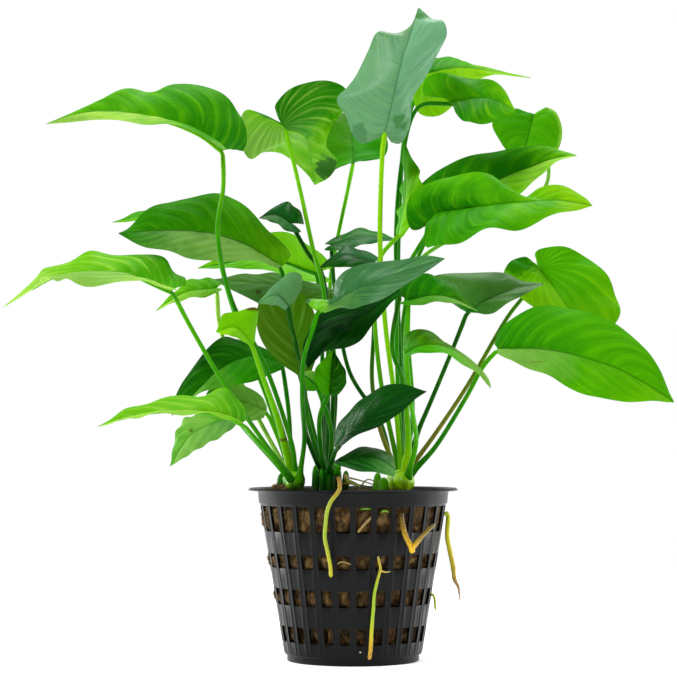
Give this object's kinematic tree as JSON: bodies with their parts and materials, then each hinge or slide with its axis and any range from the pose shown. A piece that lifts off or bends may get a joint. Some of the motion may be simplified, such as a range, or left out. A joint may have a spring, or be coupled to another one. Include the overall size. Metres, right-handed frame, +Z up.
{
  "type": "potted aquarium plant",
  "caption": "Potted anubias for an aquarium: broad leaves on long stalks rise from creeping stems that lie on rock wool in a pierced net pot, with roots hanging outside.",
  "frame": {"origin": "centre of the net pot's underside, on the surface that it stands on", "axes": "+Z up along the pot's axis; the pictured side faces -Y"},
  "size_m": [0.2894, 0.2014, 0.2942],
  "materials": {
    "leaf_fresh_green": "satin",
    "leaf_mid_green": "satin",
    "leaf_lime": "satin",
    "leaf_pale_green": "satin",
    "leaf_olive": "satin",
    "leaf_glaucous": "satin",
    "leaf_dark_green": "gloss",
    "creeping_stem": "satin",
    "root_brown": "satin",
    "root_green": "satin",
    "root_orange": "satin",
    "rock_wool": "matte",
    "net_pot": "satin"
  },
  "bodies": {
    "root": {"net_pot": "net_pot", "rock_wool": "rock_wool", "creeping_stem_left": "creeping_stem", "creeping_stem_centre": "creeping_stem", "creeping_stem_right": "creeping_stem", "root_over_rim": "root_brown", "root_arching": "root_brown", "root_long_front": "root_green", "root_orange_fork": "root_orange", "root_right_side": "root_green", "root_small_side": "root_green", "leaf_top_left": "leaf_fresh_green", "leaf_left_big": "leaf_mid_green", "leaf_left_behind": "leaf_fresh_green", "leaf_left_lime_behind": "leaf_lime", "leaf_far_left": "leaf_lime", "leaf_small_lime": "leaf_lime", "leaf_lime_brown_edge": "leaf_lime", "leaf_grey_folded": "leaf_glaucous", "leaf_olive_behind": "leaf_olive", "leaf_grey_green_under": "leaf_pale_green", "leaf_dark_mid_left": "leaf_mid_green", "leaf_lower_left_lime": "leaf_lime", "leaf_hanging_grey": "leaf_pale_green", "leaf_pale_lower_left": "leaf_pale_green", "leaf_top_heart": "leaf_lime", "leaf_behind_top": "leaf_olive", "leaf_top_glaucous": "leaf_glaucous", "leaf_thin_top_right": "leaf_lime", "leaf_right_top": "leaf_fresh_green", "leaf_right_upper_lime": "leaf_lime", "leaf_right_mid_upper": "leaf_fresh_green", "leaf_right_big": "leaf_fresh_green", "leaf_right_heart": "leaf_fresh_green", "leaf_right_glaucous": "leaf_glaucous", "leaf_right_lower_big": "leaf_fresh_green", "leaf_centre_front": "leaf_glaucous", "leaf_dark_glossy": "leaf_dark_green", "leaf_drooping_right": "leaf_fresh_green", "leaf_right_mid": "leaf_fresh_green", "leaf_dark_front": "leaf_dark_green", "leaf_small_bottom": "leaf_dark_green", "leaf_small_dark": "leaf_dark_green", "leaf_centre_dark_upper": "leaf_dark_green", "leaf_centre_dark_lower": "leaf_dark_green", "leaf_tall_wavy": "leaf_lime", "leaf_young_folded": "leaf_mid_green", "leaf_pale_small": "leaf_pale_green"}
  },
  "joints": []
}
